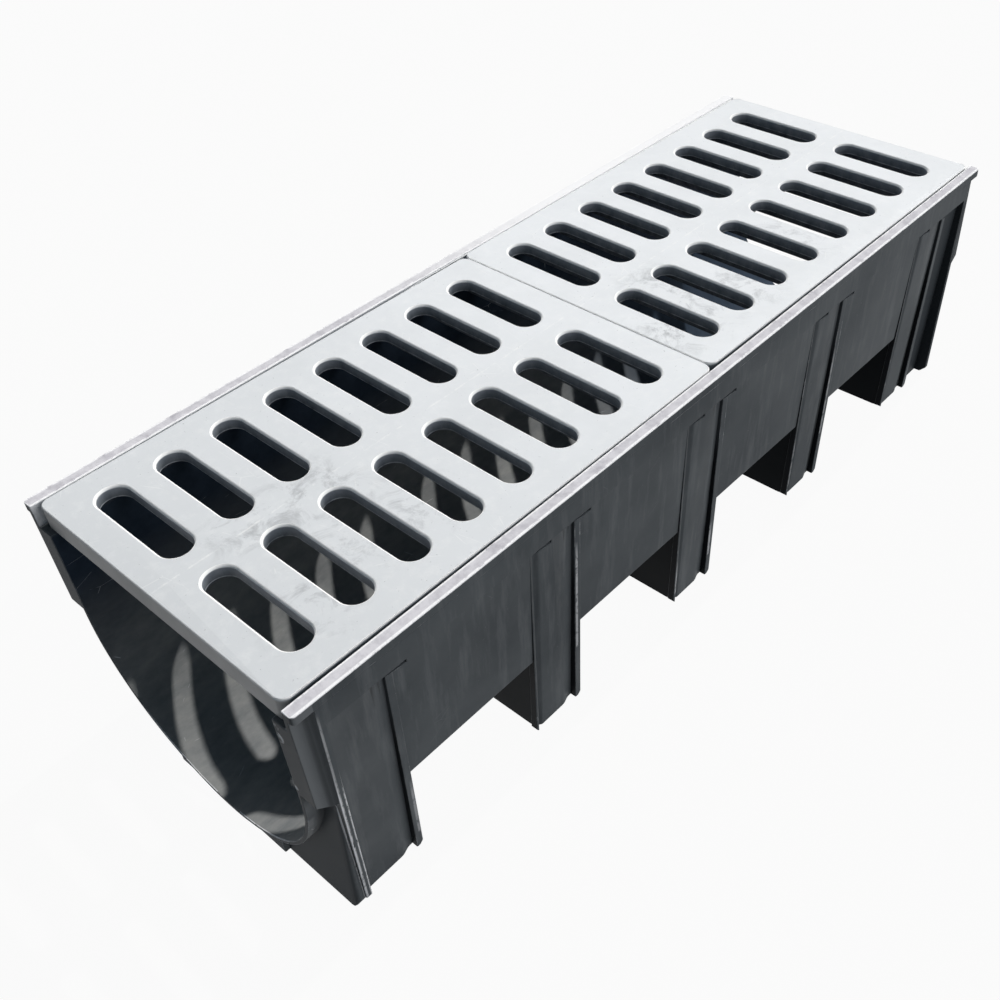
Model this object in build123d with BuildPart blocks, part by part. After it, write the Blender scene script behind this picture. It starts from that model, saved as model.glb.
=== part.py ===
from build123d import *
from math import copysign
import os

# Channel drain, one metre long: a moulded trough body with two loose slotted grates.
# Millimetres. X runs along the channel, Y across it, Z up. Origin: centre of the footprint on the floor.

# Main sizes
length = 1000.0
width = 352.0
height = 275.0
wall = 4.0
# how far a cutter, or a wall that laps into another, runs past the face
past = 1.0

# Rim and the rebate that the grates sit in
rim_width = 12.0
rim_plate = 9.0
rim_tip_radius = 4.0
grate_thickness = 23.0
seat_width = 17.5
seat_plate = 5.0
rebate_half = width / 2 - rim_width
seat_height = height - grate_thickness
head_bottom = seat_height - seat_plate

# Trough: straight sides over a half round bottom
floor_clearance = 2.0
trough_half = rebate_half - seat_width
trough_radius = trough_half + wall
trough_axis = trough_radius + floor_clearance

# Skirt: a proud band under the rim, then a leaning panel that ends above the floor
band_drop = 30.5
band_lean = 0.8
band_step = 2.2
skirt_wall = 5.0
skirt_drop = 170.0
skirt_taper = 16.7
skirt_floor_half = width / 2 - skirt_taper
band_bottom = height - band_drop
skirt_bottom = height - skirt_drop
panel_top = band_bottom - band_step
panel_top_half = width / 2 - band_lean - band_step
panel_lean = (panel_top_half - skirt_floor_half) / panel_top

# Feet: each is a hollow box at an even pitch. Its front wall laps a little past the webs at both sides
near_foot_margin = 25.7
far_foot_margin = 125.5
foot_count = 5
foot_pitch = (length - near_foot_margin - far_foot_margin) / (foot_count - 1)
foot_width = 62.5
foot_corner = 4.0
web = 4.0
web_inset = 3.5
near_rib_width = 2.5
far_rib_width = 7.5
rib_proud = 3.5

# Groove along each rib: a steep side at the rib, then a soft rise to the foot's face
groove_depth = 3.0
groove_flat = 2.5
near_groove = 9.0
far_groove = 15.5
# the notch under the band, which turns off the top of each groove and widens to its end
notch_length = 24.0
notch_height = 4.5
notch_start_height = 1.0
notch_depth = 3.0

# End flanges, end lugs beside the trough mouth, and the pad under each trough mouth
flange_set_back = 18.0
flange_width = 6.0
flange_proud = 10.0
flange_corner = 7.0
flange_face = length / 2 - flange_set_back
end_bay_recess = 4.5
lug_inset = 6.5
lug_drop = 114.0
lug_slope_drop = 17.0
lug_half = width / 2 - lug_inset
pad_half = 77.0
pad_height = 26.0
pad_set_back = 3.0

# Grates: two equal slotted plates, stiffened below by an edge wall and ribs
seam = 1.0
grate_end_gap = 3.0
grate_side_gap = 2.5
grate_length = length / 2 - seam / 2 - grate_end_gap
grate_width = 2 * (rebate_half - grate_side_gap)
grate_corner = 9.0
grate_edge = 2.0
grate_plate = 12.5
grate_edge_wall = 14.0
grate_rib = 12.0
grate_spine = 14.0
slot_rows = 8
slot_pitch = 58.0
slot_length = 117.0
slot_width = 29.5
slot_column = 74.2
slot_bevel = 1.8
# how far both loose grates have slid towards the far end, and the turn of each in degrees
grate_slide = 2.2
near_skew = -0.34
far_skew = -0.25
grate_middle = (grate_length + seam) / 2


def panel_half(z):
    # half width over the leaning panel at height z
    return skirt_floor_half + panel_lean * z


def both_sides(*points):
    # the same outline on the +Y and the -Y side
    for side in (-1, 1):
        Polygon(*[(side * y, z) for y, z in points])


across = Plane.YZ
foot_starts = [near_foot_margin - length / 2 + foot_pitch * i for i in range(foot_count)]
foot_spans = [[start, start + foot_width] for start in foot_starts]
# the first foot runs out to the near flange
foot_spans[0][0] = -flange_face
far_bay_start = foot_spans[-1][1]
far_bay_end = flange_face - flange_width
near_webs = [-flange_face] + [start + web_inset for start, end in foot_spans[1:]]
far_webs = [end - web_inset - web for start, end in foot_spans]
bulkheads = near_webs + far_webs + [flange_face - web]
near_ribs = [start for start, end in foot_spans[1:]]
far_ribs = [end - far_rib_width for start, end in foot_spans]
# each groove: the place of its steep side and its signed run along the channel
grooves = [(x + near_rib_width, near_groove) for x in near_ribs] + [(x, -far_groove) for x in far_ribs]

# 1. Channel body, one moulding
with BuildPart() as channel_body:
    # trough shell over the full length
    with BuildSketch(across.offset(-length / 2)):
        with Locations((0, trough_axis)):
            Circle(trough_radius)
        with Locations((0, trough_axis + trough_radius)):
            Rectangle(3 * trough_radius, 2 * trough_radius, mode=Mode.SUBTRACT)
        with Locations((0, (trough_axis + head_bottom) / 2)):
            Rectangle(2 * trough_radius, head_bottom - trough_axis)
    extrude(amount=length)
    # rim head: seat plate, rebate wall and rim plate over the full length
    with BuildSketch(across.offset(-length / 2)):
        both_sides((0, head_bottom), (lug_half, head_bottom), (lug_half, height - rim_plate),
                   (width / 2, height - rim_plate), (width / 2, height), (0, height))
    extrude(amount=length)
    # band and leaning skirt between the end set-backs
    with BuildSketch(across.offset(-flange_face)):
        both_sides((width / 2, height), (width / 2 - band_lean, band_bottom),
                   (panel_top_half, panel_top), (panel_half(skirt_bottom), skirt_bottom),
                   (panel_half(skirt_bottom) - skirt_wall, skirt_bottom),
                   (panel_top_half - skirt_wall, head_bottom), (rebate_half, head_bottom), (rebate_half, height))
    extrude(amount=2 * flange_face)
    # bulkheads across the channel, one at each side of every foot
    with BuildSketch(*[across.offset(x) for x in bulkheads]):
        both_sides((0, 0), (skirt_floor_half - past, 0), (panel_half(head_bottom) - past, head_bottom),
                   (0, head_bottom))
    extrude(amount=web)
    # front walls of the feet, carried down from the skirt to the floor
    front_top = skirt_bottom + wall
    front = [(panel_half(front_top), front_top), (skirt_floor_half, 0),
             (skirt_floor_half - skirt_wall, 0), (panel_half(front_top) - skirt_wall, front_top)]
    with BuildSketch(*[across.offset(start) for start, end in foot_spans[1:]]):
        both_sides(*front)
    extrude(amount=foot_width)
    with BuildSketch(across.offset(foot_spans[0][0])):
        both_sides(*front)
    extrude(amount=foot_spans[0][1] - foot_spans[0][0])
    # upright ribs, flush under the band and standing proud at the floor
    for places, rib_width in ((near_ribs, near_rib_width), (far_ribs, far_rib_width)):
        with BuildSketch(*[across.offset(x) for x in places]):
            both_sides((panel_top_half, panel_top), (skirt_floor_half + rib_proud, 0),
                       (skirt_floor_half - skirt_wall, 0), (panel_top_half - skirt_wall, panel_top))
        extrude(amount=rib_width)
    # recessed bay between the last foot and the far flange
    with BuildSketch(across.offset(far_bay_start - past)):
        both_sides((panel_half(head_bottom) - end_bay_recess, head_bottom), (panel_half(0) - end_bay_recess, 0),
                   (panel_half(0) - end_bay_recess - skirt_wall, 0),
                   (panel_half(head_bottom) - end_bay_recess - skirt_wall, head_bottom))
    extrude(amount=far_bay_end - far_bay_start + 2 * past)
    with BuildSketch(across.offset(far_bay_start)):
        both_sides((width, band_bottom), (width, -past), (panel_half(-past) - end_bay_recess, -past),
                   (panel_half(band_bottom) - end_bay_recess, band_bottom))
    extrude(amount=far_bay_end - far_bay_start, mode=Mode.SUBTRACT)
    # proud end flanges, cut back at the floor corner
    with BuildSketch(across.offset(-flange_face), across.offset(flange_face - flange_width)):
        both_sides((width / 2 - band_lean, band_bottom), (skirt_floor_half + flange_proud, flange_corner),
                   (skirt_floor_half + flange_proud - flange_corner, 0), (skirt_floor_half - skirt_wall, 0),
                   (panel_top_half - skirt_wall, band_bottom))
    extrude(amount=flange_width)
    # end lugs beside the trough mouth, sloped and hollow below
    lug_middle = (trough_half + lug_half) / 2
    lug_back = flange_set_back + wall / 2
    with BuildSketch(*[Plane.XZ.offset(side * lug_middle) for side in (-1, 1)]):
        for end in (-1, 1):
            Polygon((end * length / 2, height - rim_plate), (end * length / 2, height - lug_drop),
                    (end * (length / 2 - lug_back), height - lug_drop - lug_slope_drop),
                    (end * (length / 2 - lug_back), height - rim_plate))
    extrude(amount=(lug_half - trough_half) / 2, both=True)
    with BuildSketch(Plane.XY.offset(height - lug_drop - lug_slope_drop)):
        with Locations(*[(end * (length - lug_back) / 2, side * lug_middle) for end in (-1, 1) for side in (-1, 1)]):
            Rectangle(lug_back - 2 * wall, lug_half - trough_half - 2 * wall)
    extrude(amount=head_bottom - height + lug_drop + lug_slope_drop, mode=Mode.SUBTRACT)
    # pads under the trough mouths
    pad_length = flange_set_back - pad_set_back
    with BuildSketch():
        with GridLocations(length - 2 * pad_set_back - pad_length, 0, 2, 1):
            Rectangle(pad_length, 2 * pad_half)
    extrude(amount=pad_height)
    # the waterway, open from end to end, and the rebate over it
    over = height + past
    with BuildSketch(across.offset(-length / 2 - past)):
        with Locations((0, trough_axis)):
            Circle(trough_half)
        with Locations((0, (trough_axis + over) / 2)):
            Rectangle(2 * trough_half, over - trough_axis)
        with Locations((0, (seat_height + over) / 2)):
            Rectangle(2 * rebate_half, over - seat_height)
    extrude(amount=length + 2 * past, mode=Mode.SUBTRACT)
    # grooves between the ribs and the face of each foot, following the lean of the panel
    for side in (-1, 1):
        face, bottom, clear = [side * (panel_top_half + step) for step in (0, -groove_depth, 2 * rib_proud)]
        with BuildSketch(Plane.XY.offset(panel_top)):
            for x, run in grooves:
                flat_end = x + copysign(groove_flat, run)
                with BuildLine():
                    Polyline((x + run, face), (x + run, clear), (x, clear), (x, bottom), (flat_end, bottom))
                    Spline((flat_end, bottom), (x + run, face), tangents=((run, 0), (run, 0)))
                make_face()
        extrude(amount=height, dir=(0, -side * panel_lean, -1), mode=Mode.SUBTRACT)
    # the notch under the band at the top of each groove
    with BuildSketch(*[Plane.XZ.offset(side * panel_top_half) for side in (-1, 1)]):
        for x, run in grooves:
            notch_near = min(x, x + copysign(groove_flat, run))
            Polygon((notch_near, panel_top), (notch_near + notch_length, panel_top),
                    (notch_near + notch_length, panel_top - notch_height),
                    (notch_near, panel_top - notch_start_height))
    extrude(amount=notch_depth, both=True, mode=Mode.SUBTRACT)
    # the lower corners of the feet, cut back
    with BuildSketch(*[Plane.XZ.offset(side * skirt_floor_half) for side in (-1, 1)]):
        for x, turn in [(x, 1) for x in near_ribs] + [(x + far_rib_width, -1) for x in far_ribs]:
            Polygon((x - turn * past, -past), (x + turn * (foot_corner + past), -past),
                    (x - turn * past, foot_corner + past))
    extrude(amount=skirt_wall + rib_proud, both=True, mode=Mode.SUBTRACT)
    # softened upright corners of the rim tips
    upright_edges = channel_body.edges().filter_by(Axis.Z)
    fillet(upright_edges.group_by(lambda edge: abs(edge.center().X) + abs(edge.center().Y))[-1], radius=rim_tip_radius)
channel_body.part.label = "channel_body"


def slotted_plate():
    # one grate with its underside on Z = 0: a plate over an edge wall, a spine and a rib between each two rows
    pocket_width = (grate_width - grate_spine) / 2 - grate_edge_wall
    pocket_column = (grate_spine + pocket_width) / 2
    with BuildPart() as plate:
        with BuildSketch() as outline:
            RectangleRounded(grate_length, grate_width, grate_corner)
        extrude(outline.sketch, amount=grate_thickness)
        with BuildSketch() as pockets:
            with GridLocations(slot_pitch, 2 * pocket_column, slot_rows, 2):
                Rectangle(slot_pitch - grate_rib, pocket_width)
        extrude(pockets.sketch, amount=grate_thickness - grate_plate, mode=Mode.SUBTRACT)
        with BuildSketch() as slots:
            with GridLocations(slot_pitch, 2 * slot_column, slot_rows, 2):
                SlotOverall(slot_length, slot_width, rotation=90)
        extrude(slots.sketch, amount=grate_thickness, mode=Mode.SUBTRACT)
        # broken edges: the outline of the top face, and the mouth of every slot
        top = plate.faces().sort_by(Axis.Z)[-1]
        chamfer(top.outer_wire().edges(), length=grate_edge)
        top = plate.faces().sort_by(Axis.Z)[-1]
        chamfer([edge for mouth in top.inner_wires() for edge in mouth.edges()], length=slot_bevel)
    return plate.part


# 2. Near grate, lying loose on the seats
with BuildPart() as grate_near:
    with Locations(Location((grate_slide - grate_middle, 0, seat_height), (0, 0, near_skew))):
        add(slotted_plate())
grate_near.part.label = "grate_near"

# 3. Far grate, lying loose on the seats
with BuildPart() as grate_far:
    with Locations(Location((grate_slide + grate_middle, 0, seat_height), (0, 0, far_skew))):
        add(slotted_plate())
grate_far.part.label = "grate_far"

os.makedirs("parts", exist_ok=True)
export_step(channel_body.part, "parts/channel_body.step")
export_step(grate_near.part, "parts/grate_near.step")
export_step(grate_far.part, "parts/grate_far.step")
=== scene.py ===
import math
import bmesh
import bpy
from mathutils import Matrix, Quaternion, Vector
from mathutils.noise import noise as noise_at


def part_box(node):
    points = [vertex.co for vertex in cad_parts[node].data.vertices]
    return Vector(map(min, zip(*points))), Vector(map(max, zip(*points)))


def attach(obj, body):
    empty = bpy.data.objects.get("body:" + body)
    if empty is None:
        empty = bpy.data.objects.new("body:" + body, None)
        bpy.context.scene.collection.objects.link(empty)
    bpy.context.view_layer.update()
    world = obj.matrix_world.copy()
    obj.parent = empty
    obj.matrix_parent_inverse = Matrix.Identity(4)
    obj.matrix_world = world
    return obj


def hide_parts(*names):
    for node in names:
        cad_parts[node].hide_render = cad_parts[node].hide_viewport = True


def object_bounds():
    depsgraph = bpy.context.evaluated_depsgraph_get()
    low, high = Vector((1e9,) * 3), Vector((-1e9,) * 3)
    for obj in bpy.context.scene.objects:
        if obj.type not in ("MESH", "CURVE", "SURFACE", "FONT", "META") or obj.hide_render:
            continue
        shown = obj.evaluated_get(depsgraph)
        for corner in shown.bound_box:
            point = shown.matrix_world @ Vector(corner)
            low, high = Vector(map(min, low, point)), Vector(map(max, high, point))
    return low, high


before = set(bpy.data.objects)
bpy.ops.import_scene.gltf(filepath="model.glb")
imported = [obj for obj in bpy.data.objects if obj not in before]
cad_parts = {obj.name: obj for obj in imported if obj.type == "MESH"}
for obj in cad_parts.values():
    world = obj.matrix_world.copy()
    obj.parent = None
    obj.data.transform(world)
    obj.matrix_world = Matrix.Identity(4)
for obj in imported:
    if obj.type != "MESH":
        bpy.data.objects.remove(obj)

cad_low, cad_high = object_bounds()


# Channel body
# One moulding in charcoal plastic: a round-bottomed trough, a rim, a leaning ribbed skirt and hollow feet.
# It comes off the machine in one shot. The arrises are rubbed pale by handling, with painted highlights along
# the rim and on the burrs. The rim top, the lug's side and the end wall beside it are painted pale as painted
# light.
# The inside of the trough, the faces towards the near end, the sides of the feet and the last bay are painted dark
# as painted shade. Dust lies on the bottom of the trough, laid where the light through the slots falls, so it is
# partly painted light.
arris = 0.0009
sharp_turn = math.radians(25)
rim_height = cad_high.z
rim_edge = cad_high.y
rim_inner = 0.164
trough_half = 0.1465
near_end = cad_low.x
end_wall = near_end + 0.018
flange_inner = near_end + 0.024
last_bay = 0.436
skirt_side = -0.150
floor_height = cad_low.z
tip_height = 0.007
band_step_low, band_step_high = 0.238, 0.247


def placed(name, data):
    """A new object with this data, in the scene."""
    thing = bpy.data.objects.new(name, data)
    bpy.context.scene.collection.objects.link(thing)
    return thing


def copy_of(node, name):
    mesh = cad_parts[node].data.copy()
    mesh.name = name
    return placed(name, mesh)


def soften_arrises(piece, width, segments):
    """Rounds the outside arrises and gives their narrow faces the second material slot.
    The feet's cut-back tips and the step under the band stay as moulded."""
    shape = bmesh.new()
    shape.from_mesh(piece.data)
    bmesh.ops.remove_doubles(shape, verts=shape.verts, dist=1e-5)
    bmesh.ops.dissolve_limit(shape, angle_limit=math.radians(1), verts=shape.verts, edges=shape.edges)
    weight = shape.edges.layers.float.new("bevel_weight_edge")
    for edge in shape.edges:
        heights = [vertex.co.z for vertex in edge.verts]
        at_tip = max(heights) < floor_height + tip_height
        under_band = min(heights) > band_step_low and max(heights) < band_step_high
        if (len(edge.link_faces) == 2 and edge.is_convex and edge.calc_face_angle() > sharp_turn
                and not at_tip and not under_band):
            edge[weight] = 1
    shape.to_mesh(piece.data)
    shape.free()
    bevel = piece.modifiers.new("arris", "BEVEL")
    bevel.limit_method = "WEIGHT"
    bevel.width = width
    bevel.segments = segments
    bevel.material = 1
    bevel.use_clamp_overlap = False


def shade(piece, angle):
    """Smooth over the round surfaces, with flat faces kept flat."""
    piece.data.shade_smooth()
    graph = bpy.context.evaluated_depsgraph_get()
    finished = bpy.data.meshes.new_from_object(piece.evaluated_get(graph), depsgraph=graph)
    piece.modifiers.clear()
    piece.data = finished
    finished.shade_smooth()
    finished.set_sharp_from_angle(angle=angle)
    weighted = piece.modifiers.new("flat faces", "WEIGHTED_NORMAL")
    weighted.keep_sharp = True


body = copy_of("channel_body", "body")


class Finish:
    """A material with its own node graph, written a node at a time."""

    def __init__(self, name, roughness, specular):
        self.material = bpy.data.materials.new(name)
        self.material.use_nodes = True
        self.nodes = self.material.node_tree.nodes
        self.shader = self.nodes["Principled BSDF"]
        self.shader.inputs["Roughness"].default_value = roughness
        self.shader.inputs["Specular IOR Level"].default_value = specular
        self.place = self.nodes.new("ShaderNodeTexCoord").outputs["Object"]
        normal = self.nodes.new("ShaderNodeNewGeometry").outputs["Normal"]
        self.x, self.y, self.z = [self.axis(self.place, name) for name in "XYZ"]
        self.facing_x, self.facing_y, self.facing_up = [self.axis(normal, name) for name in "XYZ"]

    def join(self, source, target):
        if isinstance(source, bpy.types.NodeSocket):
            self.material.node_tree.links.new(source, target)
        elif hasattr(source, "__len__"):
            target.default_value = (*source, 1)[:len(target.default_value)]
        else:
            target.default_value = source

    def axis(self, vector, name):
        node = self.nodes.new("ShaderNodeSeparateXYZ")
        self.join(vector, node.inputs[0])
        return node.outputs[name]

    def stretched(self, x, y, z):
        node = self.nodes.new("ShaderNodeVectorMath")
        node.operation = "MULTIPLY"
        self.join(self.place, node.inputs[0])
        node.inputs[1].default_value = (x, y, z)
        return node.outputs[0]

    def noise(self, scale, detail=4, roughness=0.6, place=None, bend=0.0):
        node = self.nodes.new("ShaderNodeTexNoise")
        self.join(place or self.place, node.inputs["Vector"])
        node.inputs["Scale"].default_value = scale
        node.inputs["Detail"].default_value = detail
        node.inputs["Roughness"].default_value = roughness
        node.inputs["Distortion"].default_value = bend
        return node.outputs["Fac"]

    def ramp(self, value, low, high, out_low=0.0, out_high=1.0):
        node = self.nodes.new("ShaderNodeMapRange")
        self.join(value, node.inputs["Value"])
        for name, number in zip(("From Min", "From Max", "To Min", "To Max"), (low, high, out_low, out_high)):
            node.inputs[name].default_value = number
        return node.outputs["Result"]

    def math(self, operation, a, b=0.0):
        node = self.nodes.new("ShaderNodeMath")
        node.operation = operation
        self.join(a, node.inputs[0])
        self.join(b, node.inputs[1])
        return node.outputs[0]

    def where(self, *masks):
        """The masks multiplied together: only where all of them hold."""
        share = masks[0]
        for mask in masks[1:]:
            share = self.math("MULTIPLY", share, mask)
        return share

    def mix(self, share, a, b):
        node = self.nodes.new("ShaderNodeMix")
        node.data_type = "RGBA"
        self.join(share, node.inputs["Factor"])
        self.join(a, node.inputs["A"])
        self.join(b, node.inputs["B"])
        return node.outputs["Result"]

    def scratches(self, scale, place, width, kept):
        """Thin long marks: the borders of stretched cells, broken up by a noise."""
        cells = self.nodes.new("ShaderNodeTexVoronoi")
        cells.feature = "DISTANCE_TO_EDGE"
        self.join(place, cells.inputs["Vector"])
        cells.inputs["Scale"].default_value = scale
        line = self.ramp(cells.outputs["Distance"], width, 0)
        return self.where(line, self.ramp(self.noise(31, detail=3), kept, kept + 0.06))

    def spot(self, x, y, z, radius, soft):
        """Full inside a round place on the piece, fading out over soft."""
        node = self.nodes.new("ShaderNodeVectorMath")
        node.operation = "DISTANCE"
        self.join(self.place, node.inputs[0])
        node.inputs[1].default_value = (x, y, z)
        return self.ramp(node.outputs["Value"], radius + soft, radius)

    def bump(self, height, strength, distance):
        node = self.nodes.new("ShaderNodeBump")
        node.inputs["Strength"].default_value = strength
        node.inputs["Distance"].default_value = distance
        self.join(height, node.inputs["Height"])
        self.join(node.outputs["Normal"], self.shader.inputs["Normal"])


charcoal = (0.098, 0.108, 0.116)
charcoal_deep = (0.068, 0.075, 0.082)
lighter_far_charcoal = (0.125, 0.135, 0.143)
end_painted_shade = (0.040, 0.045, 0.050)
web_painted_shade = (0.010, 0.012, 0.014)
bay_painted_shade = (0.040, 0.046, 0.052)
chalk_and_painted_light = (0.20, 0.21, 0.22)
inside_painted_shade = (0.042, 0.060, 0.088)
inside_painted_shade_deep = (0.028, 0.042, 0.064)
dust = (0.335, 0.340, 0.335)
rim_painted_light = (0.63, 0.62, 0.66)
rim_painted_light_deep = (0.42, 0.41, 0.45)
rubbed = (0.62, 0.63, 0.66)
white_wear_dust_and_highlight = (0.86, 0.86, 0.88)
# each worn line down the -Y side: its place along the channel, its lowest and highest point, and its strength
worn_lines = [(end_wall + 0.0005, 0.0, 0.172, 0.7), (flange_inner, 0.0, 0.172, 0.9),
              (end_wall + 0.0005, 0.165, 0.262, 0.35),
              (-0.4140, 0.02, 0.10, 0.35), (-0.2045, 0.075, 0.215, 0.55), (-0.0480, 0.015, 0.065, 0.6),
              (0.0070, 0.030, 0.080, 0.6), (0.1640, 0.020, 0.090, 0.45), (0.2190, 0.060, 0.180, 0.4)]
# each burr's painted highlight: its place and its radius
burr_highlights = [((-0.4985, -0.1475, 0.2465), 0.0045), ((-0.4990, -0.1480, 0.2330), 0.0055),
         ((-0.4995, -0.1480, 0.1700), 0.0020)]


def moulded_plastic(name, on_arris):
    finish = Finish(name, roughness=0.55, specular=0.04)
    wide = finish.noise(7, detail=5)
    fine = finish.noise(55, detail=5, roughness=0.7)
    across_y = finish.math("ABSOLUTE", finish.y)
    base = finish.mix(finish.ramp(wide, 0.35, 0.65), charcoal, charcoal_deep)
    # the body is lighter towards the far end
    base = finish.mix(finish.ramp(finish.x, -0.3, 0.6, 0, 0.7), base, lighter_far_charcoal)
    # chalky rubbing on the skirt, in upright streaks and flecks
    streaks = finish.noise(1, detail=6, roughness=0.65, place=finish.stretched(70, 40, 9))
    base = finish.mix(finish.ramp(streaks, 0.50, 0.78, 0, 0.55), base, chalk_and_painted_light)
    flecks = finish.ramp(finish.noise(260, detail=2), 0.70, 0.76, 0, 0.5)
    base = finish.mix(finish.where(flecks, finish.ramp(wide, 0.45, 0.6)), base, chalk_and_painted_light)
    marks = finish.scratches(16, finish.stretched(1.0, 1.0, 2.5), 0.007, 0.60)
    base = finish.mix(finish.where(marks, 0.45), base, chalk_and_painted_light)
    # what faces the near end is painted dark as painted shade, and the sides of the feet are painted nearly black
    # as painted shade
    faces_near = finish.ramp(finish.facing_x, -0.6, -0.9)
    base = finish.mix(faces_near, base, finish.mix(finish.ramp(wide, 0.35, 0.65), end_painted_shade, charcoal_deep))
    foot_side_shade_mask = finish.where(faces_near, finish.ramp(finish.x, near_end + 0.03, near_end + 0.04),
                             finish.ramp(finish.z, 0.20, 0.16))
    base = finish.mix(foot_side_shade_mask, base, web_painted_shade)
    # the recessed bay beside the last foot is painted dark too, as painted shade
    bay_shade_mask = finish.where(finish.ramp(finish.x, last_bay, last_bay + 0.010), finish.ramp(finish.z, 0.245, 0.235))
    base = finish.mix(bay_shade_mask, base, bay_painted_shade)
    # the side of the lug at the near end and the end wall beside it are painted chalky pale as painted light, where
    # they lie in shade
    lug_side_painted_light = finish.where(finish.ramp(finish.x, end_wall - 0.0002, end_wall - 0.0008),
                            finish.ramp(finish.facing_y, -0.5, -0.8), finish.ramp(finish.z, 0.12, 0.14))
    base = finish.mix(finish.where(lug_side_painted_light, 0.65), base, chalk_and_painted_light)
    beside_lug_painted_light = finish.where(faces_near, finish.ramp(finish.x, end_wall + 0.012, end_wall + 0.007),
                              finish.ramp(finish.x, end_wall - 0.008, end_wall - 0.003),
                              finish.ramp(finish.z, 0.13, 0.15))
    base = finish.mix(beside_lug_painted_light, base, chalk_and_painted_light)
    # inside of the trough: painted deep navy as painted shade, with dust on the lower part of its near half; the
    # dust is laid where the light through the slots falls, so it is partly painted light
    inside = finish.where(finish.ramp(across_y, trough_half + 0.0015, trough_half + 0.0005),
                          finish.ramp(finish.z, rim_height - 0.020, rim_height - 0.026),
                          finish.ramp(finish.facing_x, -0.6, -0.3))
    navy = finish.mix(finish.ramp(fine, 0.4, 0.7), inside_painted_shade, inside_painted_shade_deep)
    base = finish.mix(inside, base, navy)
    along = finish.noise(1, detail=7, roughness=0.7, place=finish.stretched(25, 60, 60))
    silt = finish.ramp(along, 0.30, 0.70, 0.55, 1)
    dust_and_light_patch = finish.where(inside, finish.ramp(finish.z, 0.20, 0.09), silt)
    base = finish.mix(finish.where(dust_and_light_patch, finish.ramp(finish.x, 0.05, 0.25, 0.9, 0.0)), base, dust)
    base = finish.mix(finish.where(inside, marks), base, rubbed)
    # top of the rim, painted pale as painted light and mottled, with a white line along both edges as a painted
    # highlight
    rim_top = finish.where(finish.ramp(finish.facing_up, 0.75, 0.95),
                           finish.ramp(finish.z, rim_height - 0.004, rim_height - 0.001))
    mottle = finish.noise(85, detail=7, roughness=0.75)
    base = finish.mix(rim_top, base, finish.mix(finish.ramp(mottle, 0.42, 0.72), rim_painted_light, rim_painted_light_deep))
    rim_edge_highlight = finish.math("MAXIMUM", finish.ramp(across_y, rim_edge - 0.0028, rim_edge - 0.0018),
                            finish.ramp(across_y, rim_inner + 0.0024, rim_inner + 0.0014))
    base = finish.mix(finish.where(rim_top, rim_edge_highlight, finish.ramp(mottle, 0.62, 0.52)), base, white_wear_dust_and_highlight)
    # on the +Y side the top of the rim's far half is painted white, and pale dust clings to the wall of the gap
    far_side = finish.ramp(finish.y, rim_inner - 0.0005, rim_inner)
    base = finish.mix(finish.where(rim_top, far_side, finish.ramp(finish.x, -0.15, 0.15)), base, white_wear_dust_and_highlight)
    in_gap = finish.where(far_side, finish.ramp(finish.facing_y, -0.4, -0.8), finish.ramp(finish.z, 0.250, 0.254))
    base = finish.mix(in_gap, base, white_wear_dust_and_highlight)
    # pale worn lines down the corners and the ribs, broken where the plastic is sound
    ragged = finish.ramp(finish.noise(120, detail=5, roughness=0.7), 0.36, 0.50)
    on_side = finish.where(finish.ramp(finish.facing_y, -0.3, -0.6),
                           finish.ramp(finish.y, skirt_side, skirt_side - 0.003), ragged)
    for x, lowest, highest, share in worn_lines:
        from_line = finish.math("ABSOLUTE", finish.math("SUBTRACT", finish.x, x))
        line = finish.where(finish.ramp(from_line, 0.0018, 0.0009), finish.ramp(finish.z, highest, highest - 0.020),
                            finish.ramp(finish.z, lowest - 0.001, lowest + 0.002), on_side, share)
        base = finish.mix(line, base, white_wear_dust_and_highlight)
    # white spots as painted highlights on the torn flash at the near edge of the trough's -Y wall
    for place, radius in burr_highlights:
        base = finish.mix(finish.where(finish.spot(*place, radius, 0.0015), finish.ramp(fine, 0.38, 0.50)),
                          base, white_wear_dust_and_highlight)
    # the arrises are rubbed: chalky all over, pale here and there, and white on the near corner and mouth; the
    # white on the rim's arrises is a painted highlight
    if on_arris:
        worn = finish.ramp(finish.noise(24, detail=6, roughness=0.7), 0.44, 0.74, 0, 0.6)
        base = finish.mix(worn, base, chalk_and_painted_light)
        bright = finish.ramp(finish.noise(15, detail=6, roughness=0.75), 0.56, 0.64, 0, 0.6)
        base = finish.mix(finish.where(bright, finish.ramp(finish.facing_x, -0.7, -0.2)), base, rubbed)
        high = finish.ramp(finish.z, rim_height - 0.006, rim_height - 0.003)
        near_corner = finish.where(finish.ramp(finish.x, flange_inner + 0.003, flange_inner + 0.001),
                                   finish.ramp(finish.x, end_wall - 0.0015, end_wall - 0.0005),
                                   finish.ramp(finish.z, 0.19, 0.15),
                                   finish.ramp(finish.y, skirt_side - 0.005, skirt_side - 0.010))
        lip = finish.where(finish.ramp(finish.x, near_end + 0.004, near_end + 0.002),
                           finish.ramp(finish.z, 0.06, 0.03))
        worn_and_highlight_mask = finish.math("MAXIMUM", high, finish.math("MAXIMUM", near_corner, lip))
        base = finish.mix(finish.where(worn_and_highlight_mask, finish.ramp(fine, 0.30, 0.45)), base, white_wear_dust_and_highlight)
    finish.join(base, finish.shader.inputs["Base Color"])
    finish.join(finish.ramp(wide, 0.3, 0.7, 0.42, 0.62), finish.shader.inputs["Roughness"])
    grain = finish.math("ADD", finish.where(finish.noise(700, detail=2), 0.5), finish.where(fine, 0.5))
    finish.bump(finish.math("SUBTRACT", grain, marks), strength=0.12, distance=0.0004)
    return finish.material


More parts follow.
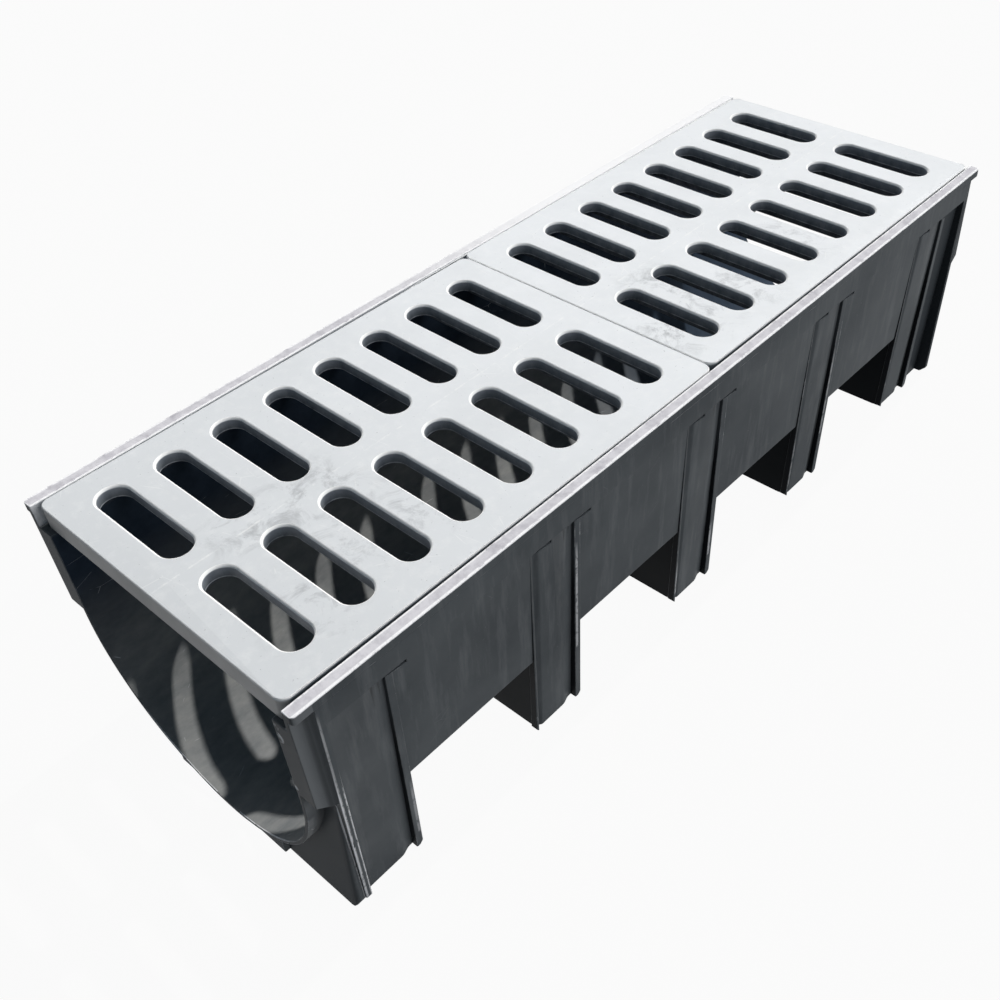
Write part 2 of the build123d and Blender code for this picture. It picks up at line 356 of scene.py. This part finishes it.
body.data.materials.clear()
body.data.materials.append(moulded_plastic("charcoal plastic", on_arris=False))
body.data.materials.append(moulded_plastic("rubbed arris", on_arris=True))
soften_arrises(body, arris, 2)
shade(body, math.radians(32))
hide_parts("channel_body")
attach(body, "root")


# End face of the near foot
# The skin of the same moulding beside the pad, below the lug. It leans out a little towards the floor.
# It runs from the underside of the trough wall out to the flange, and is one with the end wall behind it.
face_from, face_to = 0.062, 0.167
face_corner = 0.007
face_top = 0.142
face_reach = 0.010
face_steps = 45
face_back = end_wall + 0.002
face_tuck = 0.6
shell_axis, shell_radius = 0.1525, 0.149


def through(rows, name):
    """A closed shape through rows of four points each."""
    shape = bmesh.new()
    rows = [[shape.verts.new(point) for point in row] for row in rows]
    for one, other in zip(rows, rows[1:]):
        for k in range(4):
            shape.faces.new((one[k], one[(k + 1) % 4], other[(k + 1) % 4], other[k]))
    shape.faces.new(rows[0])
    shape.faces.new(rows[-1])
    bmesh.ops.recalc_face_normals(shape, faces=shape.faces)
    mesh = bpy.data.meshes.new(name)
    shape.to_mesh(mesh)
    shape.free()
    return mesh


def face_columns():
    """Columns side by side: each runs from the floor up to the trough wall, and back into the end wall."""
    for i in range(face_steps + 1):
        y = face_from + (face_to - face_from) * i / face_steps
        inside_shell = max(shell_radius ** 2 - y ** 2, 0) ** 0.5
        top = min(shell_axis - inside_shell, face_top)
        past_corner = min(max(y - (face_to - face_corner), 0), face_corner)
        foot = face_corner - (face_corner ** 2 - past_corner ** 2) ** 0.5
        foot_out = end_wall - face_reach + foot * face_tuck
        top_out = end_wall - face_reach * (1 - top / face_top)
        yield (foot_out, -y, foot), (top_out, -y, top), (face_back, -y, top), (face_back, -y, foot)


foot_face = placed("foot_end_face", through(face_columns(), "foot_end_face"))
for material in body.data.materials:
    foot_face.data.materials.append(material)
soften_arrises(foot_face, 0.0015, 3)
shade(foot_face, math.radians(32))
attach(foot_face, "root")


# Grates
# Two equal slotted plates in pale grey composite, each half a metre long, lying loose in the rim.
# They are cast face up with a rolled mouth to every slot. Feet and tools have scuffed the top; its edges are
# painted white as a painted highlight, and the slot walls and the underside are painted dark as painted shade.
mouth_round = 0.0007
plate_length, plate_width, plate_corner = 0.4965, 0.323, 0.009
plate_chamfer = 0.0022
outline_turn = {"grate_near": -0.34, "grate_far": -0.25}
outline_drawn_in = 0.0012
plate_white = (0.88, 0.88, 0.88)
slot_shade_grey = (0.17, 0.195, 0.23)
slot_shade_black = (0.04, 0.05, 0.065)
slot_lip_highlight = (0.42, 0.45, 0.49)
plate_depth = 0.0125
near_face_shade = (0.36, 0.355, 0.35)
near_tone = (0.59, 0.61, 0.635)
far_tone = (0.745, 0.765, 0.795)
dark_scuff = (0.30, 0.31, 0.33)
scuffed_places = {
    "grate_near": [(-0.427, -0.103), (-0.374, -0.078), (-0.335, -0.008), (-0.396, 0.001), (-0.30, -0.085)],
    "grate_far": [(0.058, -0.100), (0.020, -0.097), (0.083, -0.038), (0.130, -0.105), (0.250, -0.096)],
}


def sharpen_outline(plate, node):
    """Draws in the broad chamfer round the top face, so that the plate's edge reads as a thin line."""
    low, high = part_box(node)
    centre = (Vector(low) + Vector(high)) / 2
    turn = math.radians(outline_turn[node])
    along, across = Vector((math.cos(turn), math.sin(turn), 0)), Vector((-math.sin(turn), math.cos(turn), 0))
    half_length, half_width = plate_length / 2 - plate_corner, plate_width / 2 - plate_corner
    for vertex in plate.data.vertices:
        from_centre = vertex.co - centre
        a, b = from_centre.dot(along), from_centre.dot(across)
        out = Vector((max(abs(a) - half_length, 0) * math.copysign(1, a),
                      max(abs(b) - half_width, 0) * math.copysign(1, b)))
        if out.length > plate_corner - plate_chamfer:
            if vertex.co.z > rim_height - 0.0001:
                step = out.normalized() * outline_drawn_in
                vertex.co += along * step.x + across * step.y
            elif vertex.co.z > rim_height - 0.0025:
                vertex.co.z += outline_drawn_in


def composite(node):
    finish = Finish(node + " composite", roughness=0.5, specular=0.2)
    blotches = finish.noise(11, detail=7, roughness=0.65)
    fine = finish.noise(90, detail=5, roughness=0.7)
    # the top is lighter towards the far end
    base = finish.mix(finish.ramp(finish.x, -0.50, -0.02), near_tone, far_tone)
    base = finish.mix(finish.ramp(blotches, 0.40, 0.70, 0, 0.35), base, near_tone)
    base = finish.mix(finish.ramp(fine, 0.5, 0.8, 0, 0.25), base, plate_white)
    # drag marks and dark rubbed patches between the slots
    marks = finish.scratches(14, finish.stretched(3.0, 1.0, 1.0), 0.010, 0.56)
    base = finish.mix(finish.where(marks, 0.35), base, plate_white)
    for x, y in scuffed_places[node]:
        patch = finish.where(finish.spot(x, y, rim_height, 0.015, 0.040),
                             finish.ramp(finish.noise(38, detail=7, roughness=0.75, bend=0.6), 0.50, 0.66), 0.65)
        base = finish.mix(patch, base, dark_scuff)
    # a faint pale line along the middle, and dark specks
    from_middle = finish.math("ABSOLUTE", finish.y)
    base = finish.mix(finish.where(finish.ramp(from_middle, 0.0012, 0.0006), finish.ramp(fine, 0.45, 0.6), 0.4),
                      base, plate_white)
    specks = finish.ramp(finish.noise(420, detail=1), 0.76, 0.79, 0, 0.6)
    base = finish.mix(specks, base, dark_scuff)
    # the rolled edges are painted white as a painted highlight; the walls below them are painted dark as painted
    # shade, darker deeper down, with a pale painted highlight line at the foot of the slot wall and a lighter
    # painted shade on the near face
    rolled = finish.where(finish.ramp(finish.facing_up, 0.985, 0.93), finish.ramp(finish.facing_up, 0.15, 0.35))
    base = finish.mix(rolled, base, plate_white)
    wall = finish.where(finish.ramp(finish.facing_up, 0.30, 0.12),
                        finish.ramp(finish.z, rim_height - 0.0015, rim_height - 0.003))
    painted_wall_shade = finish.mix(finish.ramp(finish.z, rim_height - 0.012, rim_height - 0.003), slot_shade_black, slot_shade_grey)
    from_lip = finish.math("ABSOLUTE", finish.math("SUBTRACT", finish.z, rim_height - plate_depth + 0.0006))
    lip_highlight_line = finish.where(finish.ramp(from_lip, 0.0011, 0.0005), finish.ramp(fine, 0.3, 0.6))
    painted_wall_shade = finish.mix(lip_highlight_line, painted_wall_shade, slot_lip_highlight)
    face_x = near_end + 0.012
    painted_wall_shade = finish.mix(finish.ramp(finish.x, face_x, face_x - 0.002), painted_wall_shade, near_face_shade)
    base = finish.mix(finish.where(wall, finish.ramp(fine, 0.2, 0.7, 1.0, 0.8)), base, painted_wall_shade)
    finish.join(base, finish.shader.inputs["Base Color"])
    finish.join(finish.ramp(blotches, 0.3, 0.7, 0.42, 0.6), finish.shader.inputs["Roughness"])
    finish.bump(finish.math("ADD", finish.where(finish.noise(500, detail=2), 0.6), finish.where(fine, 0.4)),
                strength=0.08, distance=0.0004)
    return finish.material


for node in ("grate_near", "grate_far"):
    plate = copy_of(node, node + "_plate")
    plate.data.materials.clear()
    plate.data.materials.append(composite(node))
    sharpen_outline(plate, node)
    soften_arrises(plate, mouth_round, 2)
    plate.modifiers["arris"].material = -1
    shade(plate, math.radians(35))
    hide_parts(node)
    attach(plate, "root")


# Dust in the far gap
# Pale dust and grit packed between the far grate and the rim on the +Y side, a little below the rim top.
# It is an uneven strip that lies in the rebate and holds by itself.
dust_from, dust_to = -0.12, 0.494
dust_steps = 220
dust_outer = 0.1646
dust_clear = 0.0005
dust_top, dust_low = rim_height - 0.0012, rim_height - 0.009
dust_lean = 0.0003
hollow_depth, hollows_in_a_metre = 0.0009, 60
tail_drop, tail_steps = 0.004, 25


def dust_rows():
    """Rows along the gap, whose top rises and falls and sinks away towards the near grate."""
    low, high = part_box("grate_far")
    middle, edge = (low[0] + high[0]) / 2, (low[1] + high[1]) / 2 + plate_width / 2
    slope = math.tan(math.radians(outline_turn["grate_far"]))
    for i in range(dust_steps + 1):
        x = dust_from + (dust_to - dust_from) * i / dust_steps
        inner = edge + slope * (x - middle) + dust_clear
        hollow = hollow_depth * abs(noise_at(Vector((x * hollows_in_a_metre, 0.3, 0.1))))
        top = dust_top - hollow - tail_drop * max(1 - i / tail_steps, 0)
        yield (x, inner, dust_low), (x, inner, top - dust_lean), (x, dust_outer, top), (x, dust_outer, dust_low)


grit = Finish("packed dust", roughness=0.9, specular=0.1)
grit.join(grit.mix(grit.ramp(grit.noise(300, detail=5, roughness=0.7), 0.40, 0.62), plate_white, near_tone),
          grit.shader.inputs["Base Color"])
grit.bump(grit.noise(900, detail=3), strength=0.4, distance=0.0004)
gap_dust = placed("gap_dust", through(dust_rows(), "gap_dust"))
gap_dust.data.materials.append(grit.material)
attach(gap_dust, "root")


# Floor and backdrop
# A plain pale studio sweep. It shows white to the camera and keeps a faint shadow of the channel.
floor_half = 15.0
floor_tone = 0.2
floor_clear = 0.0005
shown_white = 0.95
floor_mesh = bpy.data.meshes.new("floor")
floor_mesh.from_pydata([(a * floor_half, b * floor_half, 0) for a, b in ((-1, -1), (1, -1), (1, 1), (-1, 1))],
                       [], [(0, 1, 2, 3)])
floor = placed("floor", floor_mesh)
floor.location.z = floor_height - floor_clear


def camera_share(nodes, links, strength):
    """How much of the plain white shows: to the camera and to mirror-like and see-through rays."""
    path = nodes.new("ShaderNodeLightPath")
    seen = nodes.new("ShaderNodeMath")
    seen.operation = "MAXIMUM"
    links.new(path.outputs["Is Camera Ray"], seen.inputs[0])
    links.new(path.outputs["Is Glossy Ray"], seen.inputs[1])
    either = nodes.new("ShaderNodeMath")
    either.operation = "MAXIMUM"
    links.new(seen.outputs[0], either.inputs[0])
    links.new(path.outputs["Is Transmission Ray"], either.inputs[1])
    share = nodes.new("ShaderNodeMath")
    share.operation = "MULTIPLY"
    links.new(either.outputs[0], share.inputs[0])
    share.inputs[1].default_value = strength
    return share.outputs[0]


floor_paint = bpy.data.materials.new("pale floor")
floor_paint.use_nodes = True
nodes, links = floor_paint.node_tree.nodes, floor_paint.node_tree.links
painted = nodes["Principled BSDF"]
painted.inputs["Base Color"].default_value = (floor_tone, floor_tone, floor_tone, 1)
painted.inputs["Roughness"].default_value = 0.9
painted.inputs["Specular IOR Level"].default_value = 0.1
white = nodes.new("ShaderNodeEmission")
white.inputs["Strength"].default_value = 1.0
both = nodes.new("ShaderNodeMixShader")
links.new(camera_share(nodes, links, shown_white), both.inputs[0])
links.new(painted.outputs[0], both.inputs[1])
links.new(white.outputs[0], both.inputs[2])
links.new(both.outputs[0], nodes["Material Output"].inputs[0])
floor_mesh.materials.append(floor_paint)


# Light
# A hard key lamp high beyond the far end, a broad weak lamp that fills each long side, and a dim bluish room.
room_light = 0.115
room_tint = (0.58, 0.80, 1.0)
key_tint = (1.0, 0.975, 0.93)
# each lamp: its strength, its spread in degrees, the way its light travels, and its tint
lamps = {
    "key": (3.2, 1.0, (-0.865, -0.035, -1.0), key_tint),
    "side fill": (1.3, 50, (-0.42, 1.0, -0.37), (1, 1, 1)),
    "back fill": (0.8, 60, (-0.2, -1.0, -0.4), (1, 1, 1)),
}
room = bpy.data.worlds.new("room")
bpy.context.scene.world = room
room.use_nodes = True
nodes, links = room.node_tree.nodes, room.node_tree.links
air = nodes["Background"]
air.inputs["Color"].default_value = (*room_tint, 1)
air.inputs["Strength"].default_value = room_light
shown = nodes.new("ShaderNodeBackground")
shown.inputs["Color"].default_value = (1, 1, 1, 1)
both = nodes.new("ShaderNodeMixShader")
links.new(camera_share(nodes, links, 1.0), both.inputs[0])
links.new(air.outputs[0], both.inputs[1])
links.new(shown.outputs[0], both.inputs[2])
links.new(both.outputs[0], nodes["World Output"].inputs[0])
for name, (energy, spread, direction, tint) in lamps.items():
    light = bpy.data.lights.new(name, "SUN")
    light.energy = energy
    light.color = tint
    light.angle = math.radians(spread)
    lamp = placed(name, light)
    lamp.rotation_mode = "QUATERNION"
    lamp.rotation_quaternion = Vector(direction).to_track_quat("-Z", "Y")


# Camera
# Where the photographer stood: near the open end, above the rim, with the frame a little turned.
standpoint = Vector((-0.7183, -0.6462, 0.8944))
looking = Vector((0.54083, 0.50725, -0.67097))
roll = math.radians(-3.188)
lens = 41.431
camera_data = bpy.data.cameras.new("camera")
camera_data.lens = lens
camera_data.sensor_width = 36
camera_data.shift_x = -0.0678
camera_data.shift_y = 0.0009
camera = placed("camera", camera_data)
camera.rotation_mode = "QUATERNION"
camera.location = standpoint
camera.rotation_quaternion = looking.to_track_quat("-Z", "Y") @ Quaternion((0, 0, 1), roll)
bpy.context.scene.camera = camera
bpy.context.scene.view_settings.view_transform = "Standard"
